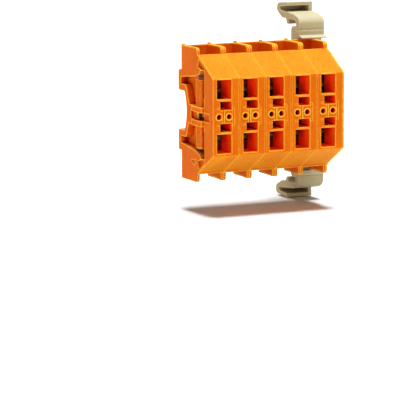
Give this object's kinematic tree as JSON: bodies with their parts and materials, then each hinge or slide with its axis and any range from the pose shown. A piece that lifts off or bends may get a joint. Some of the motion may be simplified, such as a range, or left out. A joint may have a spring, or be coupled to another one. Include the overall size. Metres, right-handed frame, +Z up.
{
  "type": "din rail terminal block",
  "caption": "Miniature terminal block of snapped-together orange poles with front wire entries and spring clamps, on a grey hooked adapter that snaps on a 35 mm top-hat rail.",
  "frame": {"origin": "centre of the adapter's flat seat, which lies on the front of the rail's lips", "axes": "+X along the rail, +Y towards the wall behind the rail, +Z up along the block's height"},
  "size_m": [0.0336, 0.0255, 0.0422],
  "materials": {
    "orange_polyamide": "fine-grained moulded polyamide",
    "grey_polyamide": "satin moulded polyamide",
    "tinned_copper": "tin-plated copper",
    "spring_steel": "rolled spring steel"
  },
  "bodies": {
    "block": {"housing_1": "orange_polyamide", "current_bar_1": "tinned_copper", "spring_loop_upper_1": "spring_steel", "spring_loop_lower_1": "spring_steel", "housing_2": "orange_polyamide", "current_bar_2": "tinned_copper", "spring_loop_upper_2": "spring_steel", "spring_loop_lower_2": "spring_steel", "housing_3": "orange_polyamide", "current_bar_3": "tinned_copper", "spring_loop_upper_3": "spring_steel", "spring_loop_lower_3": "spring_steel", "housing_4": "orange_polyamide", "current_bar_4": "tinned_copper", "spring_loop_upper_4": "spring_steel", "spring_loop_lower_4": "spring_steel", "housing_5": "orange_polyamide", "current_bar_5": "tinned_copper", "spring_loop_upper_5": "spring_steel", "spring_loop_lower_5": "spring_steel", "end_plate": "orange_polyamide", "adapter_base": "grey_polyamide"},
    "clamp_upper_1": {"clamp_cage_upper_1": "spring_steel"},
    "clamp_lower_1": {"clamp_cage_lower_1": "spring_steel"},
    "clamp_upper_2": {"clamp_cage_upper_2": "spring_steel"},
    "clamp_lower_2": {"clamp_cage_lower_2": "spring_steel"},
    "clamp_upper_3": {"clamp_cage_upper_3": "spring_steel"},
    "clamp_lower_3": {"clamp_cage_lower_3": "spring_steel"},
    "clamp_upper_4": {"clamp_cage_upper_4": "spring_steel"},
    "clamp_lower_4": {"clamp_cage_lower_4": "spring_steel"},
    "clamp_upper_5": {"clamp_cage_upper_5": "spring_steel"},
    "clamp_lower_5": {"clamp_cage_lower_5": "spring_steel"},
    "adapter_hook_upper": {"adapter_hook_upper": "grey_polyamide"},
    "adapter_hook_lower": {"adapter_hook_lower": "grey_polyamide"}
  },
  "joints": [
    {"name": "clamp_upper_1_open", "type": "slide", "parent": "block", "child": "clamp_upper_1", "axis": [0, 0, 1], "range_m": [0, 0.0017], "stiffness_N_per_m": 20000, "springref_m": -0.0005, "deforming": ["spring_loop_upper_1"]},
    {"name": "clamp_lower_1_open", "type": "slide", "parent": "block", "child": "clamp_lower_1", "axis": [0, 0, -1], "range_m": [0, 0.0017], "stiffness_N_per_m": 20000, "springref_m": -0.0005, "deforming": ["spring_loop_lower_1"]},
    {"name": "clamp_upper_2_open", "type": "slide", "parent": "block", "child": "clamp_upper_2", "axis": [0, 0, 1], "range_m": [0, 0.0017], "stiffness_N_per_m": 20000, "springref_m": -0.0005, "deforming": ["spring_loop_upper_2"]},
    {"name": "clamp_lower_2_open", "type": "slide", "parent": "block", "child": "clamp_lower_2", "axis": [0, 0, -1], "range_m": [0, 0.0017], "stiffness_N_per_m": 20000, "springref_m": -0.0005, "deforming": ["spring_loop_lower_2"]},
    {"name": "clamp_upper_3_open", "type": "slide", "parent": "block", "child": "clamp_upper_3", "axis": [0, 0, 1], "range_m": [0, 0.0017], "stiffness_N_per_m": 20000, "springref_m": -0.0005, "deforming": ["spring_loop_upper_3"]},
    {"name": "clamp_lower_3_open", "type": "slide", "parent": "block", "child": "clamp_lower_3", "axis": [0, 0, -1], "range_m": [0, 0.0017], "stiffness_N_per_m": 20000, "springref_m": -0.0005, "deforming": ["spring_loop_lower_3"]},
    {"name": "clamp_upper_4_open", "type": "slide", "parent": "block", "child": "clamp_upper_4", "axis": [0, 0, 1], "range_m": [0, 0.0017], "stiffness_N_per_m": 20000, "springref_m": -0.0005, "deforming": ["spring_loop_upper_4"]},
    {"name": "clamp_lower_4_open", "type": "slide", "parent": "block", "child": "clamp_lower_4", "axis": [0, 0, -1], "range_m": [0, 0.0017], "stiffness_N_per_m": 20000, "springref_m": -0.0005, "deforming": ["spring_loop_lower_4"]},
    {"name": "clamp_upper_5_open", "type": "slide", "parent": "block", "child": "clamp_upper_5", "axis": [0, 0, 1], "range_m": [0, 0.0017], "stiffness_N_per_m": 20000, "springref_m": -0.0005, "deforming": ["spring_loop_upper_5"]},
    {"name": "clamp_lower_5_open", "type": "slide", "parent": "block", "child": "clamp_lower_5", "axis": [0, 0, -1], "range_m": [0, 0.0017], "stiffness_N_per_m": 20000, "springref_m": -0.0005, "deforming": ["spring_loop_lower_5"]},
    {"name": "hook_upper_flex", "type": "hinge", "parent": "block", "child": "adapter_hook_upper", "pos_m": [0, -0.00302, 0.016], "axis": [1, 0, 0], "range_deg": [0, 15], "stiffness_Nm_per_rad": 0.6, "springref_deg": -2.86},
    {"name": "hook_lower_flex", "type": "hinge", "parent": "block", "child": "adapter_hook_lower", "pos_m": [0, -0.00302, -0.016], "axis": [-1, 0, 0], "range_deg": [0, 15], "stiffness_Nm_per_rad": 0.6, "springref_deg": -2.86}
  ]
}
